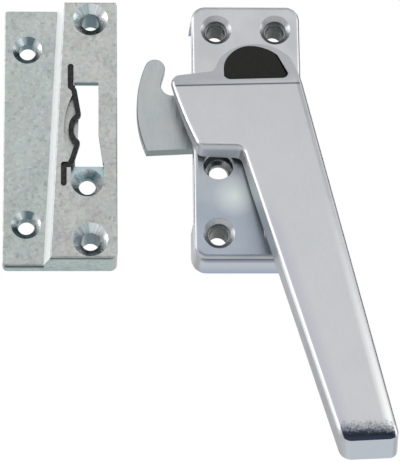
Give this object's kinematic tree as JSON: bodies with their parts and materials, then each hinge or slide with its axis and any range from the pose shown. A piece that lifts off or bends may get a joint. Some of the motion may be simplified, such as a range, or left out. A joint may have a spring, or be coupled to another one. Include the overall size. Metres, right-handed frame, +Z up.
{
  "type": "casement window latch",
  "caption": "Casement latch: lever with hook and push button on a covered base, and a cast keeper with a windowed block and leaf spring.",
  "frame": {"origin": "the spindle's axis where it meets the back face of the base plate", "axes": "+Z up along the base, +X right, +Y into the sash, so the lever faces -Y"},
  "size_m": [0.0922, 0.0397, 0.1218],
  "materials": {
    "satin_aluminium": "satin anodised",
    "zinc_steel": "bright zinc plated",
    "cast_zinc": "zinc plated die casting",
    "bush_plastic": "moulded",
    "spring_steel": "plain",
    "black_plastic": "moulded, half gloss",
    "black_spring_steel": "black oxide"
  },
  "bodies": {
    "base": {"base_plate": "zinc_steel", "base_cover": "satin_aluminium", "spindle_bush": "bush_plastic", "lock_ring": "cast_zinc", "keeper_body": "cast_zinc", "keeper_spring": "black_spring_steel"},
    "handle": {"lever": "satin_aluminium", "spindle": "zinc_steel", "hook": "zinc_steel", "spring_washer": "spring_steel", "retaining_washer": "zinc_steel", "button_springs": "spring_steel"},
    "button": {"release_button": "black_plastic", "lock_slide": "zinc_steel"}
  },
  "joints": [
    {"name": "lever_turn", "type": "hinge", "parent": "base", "child": "handle", "pos_m": [0, 0, 0], "axis": [0, -1, 0], "range_deg": [0, 90]},
    {"name": "button_press", "type": "slide", "parent": "handle", "child": "button", "axis": [0, 0, -1], "range_m": [0, 0.0016], "stiffness_N_per_m": 300, "springref_m": -0.002, "deforming": ["button_springs"]}
  ]
}
